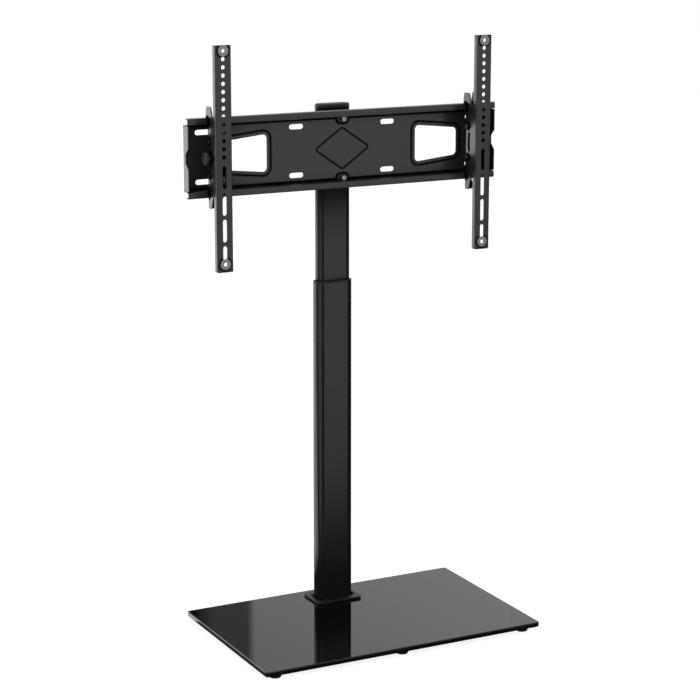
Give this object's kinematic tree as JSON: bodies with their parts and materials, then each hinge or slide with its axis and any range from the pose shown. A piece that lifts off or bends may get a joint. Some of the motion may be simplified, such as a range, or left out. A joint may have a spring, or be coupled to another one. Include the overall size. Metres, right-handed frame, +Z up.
{
  "type": "tv stand with mount",
  "caption": "Floor stand for a screen: glass base, telescopic column, swivelling mount plate and two tilting arms that hook onto it.",
  "frame": {"origin": "on the floor under the middle of the glass base", "axes": "+Z up, +X to the right of a viewer in front of the screen side, +Y away from that viewer"},
  "size_m": [0.6684, 0.382, 1.1709],
  "materials": {
    "black_glass": "polished black tempered glass",
    "black_rubber": "matt",
    "black_plastic": "fine moulded texture",
    "tube_paint": "semi-gloss black powder coat",
    "powder_coat": "fine black powder coat",
    "black_screw": "blackened steel",
    "grey_washer": "moulded",
    "zinc_plate": "bright zinc plate"
  },
  "bodies": {
    "base": {"glass_base": "black_glass", "foot_front_left": "black_rubber", "foot_front_middle": "black_rubber", "foot_front_right": "black_rubber", "foot_back_left": "black_rubber", "foot_back_middle": "black_rubber", "foot_back_right": "black_rubber", "foot_plate": "powder_coat", "foot_cover": "black_plastic", "clamp_plate": "powder_coat", "base_bolt_1": "zinc_plate", "base_bolt_2": "zinc_plate", "base_bolt_3": "zinc_plate", "base_bolt_4": "zinc_plate", "outer_tube": "tube_paint", "tube_guide": "black_plastic", "lock_bolt_1": "black_screw", "lock_bolt_2": "black_screw"},
    "mast": {"inner_tube": "tube_paint", "lower_glide": "black_plastic", "column_cap": "black_plastic", "column_bracket": "powder_coat", "column_bolt_1": "zinc_plate", "column_bolt_2": "zinc_plate", "swivel_pin": "zinc_plate", "swivel_nut": "zinc_plate"},
    "head": {"swivel_bracket": "powder_coat", "swivel_washer_top": "black_plastic", "swivel_washer_bottom": "black_plastic", "mount_plate": "powder_coat", "plate_washer_bottom": "black_screw", "plate_bolt_bottom": "zinc_plate", "plate_nut_bottom": "zinc_plate", "plate_washer_top": "black_screw", "plate_bolt_top": "zinc_plate", "plate_nut_top": "zinc_plate"},
    "slider_left": {"hook_bracket_left": "powder_coat"},
    "tilting_arm_left": {"arm_left": "powder_coat", "arm_washer_left_top": "grey_washer", "arm_washer_left_bottom": "grey_washer", "guide_bolt_left_bottom": "black_screw", "guide_nut_left_bottom": "black_screw", "guide_bolt_left_top": "black_screw", "guide_nut_left_top": "black_screw"},
    "knob_left": {"tilt_knob_left": "black_plastic", "knob_stud_left": "zinc_plate"},
    "safety_left": {"safety_screw_left": "black_plastic"},
    "slider_right": {"hook_bracket_right": "powder_coat"},
    "tilting_arm_right": {"arm_right": "powder_coat", "arm_washer_right_top": "grey_washer", "arm_washer_right_bottom": "grey_washer", "guide_bolt_right_bottom": "black_screw", "guide_nut_right_bottom": "black_screw", "guide_bolt_right_top": "black_screw", "guide_nut_right_top": "black_screw"},
    "knob_right": {"tilt_knob_right": "black_plastic", "knob_stud_right": "zinc_plate"},
    "safety_right": {"safety_screw_right": "black_plastic"}
  },
  "joints": [
    {"name": "height_slide", "type": "slide", "parent": "base", "child": "mast", "axis": [0, 0, 1], "range_m": [-0.2, 0]},
    {"name": "swivel", "type": "hinge", "parent": "mast", "child": "head", "pos_m": [0, 0.104, 0.9566], "axis": [0, 0, 1], "range_deg": [-30, 30]},
    {"name": "arm_slide_left", "type": "slide", "parent": "head", "child": "slider_left", "axis": [1, 0, 0], "range_m": [-0.015, 0.18]},
    {"name": "tilt_left", "type": "hinge", "parent": "slider_left", "child": "tilting_arm_left", "pos_m": [-0.2804, -0.02765, 0.9582], "axis": [1, 0, 0], "range_deg": [-11, 11]},
    {"name": "knob_turn_left", "type": "hinge", "parent": "slider_left", "child": "knob_left", "pos_m": [-0.3, 0.05035, 0.9582], "axis": [-1, 0, 0], "range_deg": [0, 180]},
    {"name": "safety_turn_left", "type": "hinge", "parent": "slider_left", "child": "safety_left", "pos_m": [-0.2804, 0.069, 0.87], "axis": [0, 0, -1], "range_deg": [0, 180]},
    {"name": "arm_slide_right", "type": "slide", "parent": "head", "child": "slider_right", "axis": [-1, 0, 0], "range_m": [-0.015, 0.18]},
    {"name": "tilt_right", "type": "hinge", "parent": "slider_right", "child": "tilting_arm_right", "pos_m": [0.2804, -0.02765, 0.9582], "axis": [1, 0, 0], "range_deg": [-11, 11]},
    {"name": "knob_turn_right", "type": "hinge", "parent": "slider_right", "child": "knob_right", "pos_m": [0.3, 0.05035, 0.9582], "axis": [1, 0, 0], "range_deg": [0, 180]},
    {"name": "safety_turn_right", "type": "hinge", "parent": "slider_right", "child": "safety_right", "pos_m": [0.2804, 0.069, 0.87], "axis": [0, 0, -1], "range_deg": [0, 180]}
  ]
}
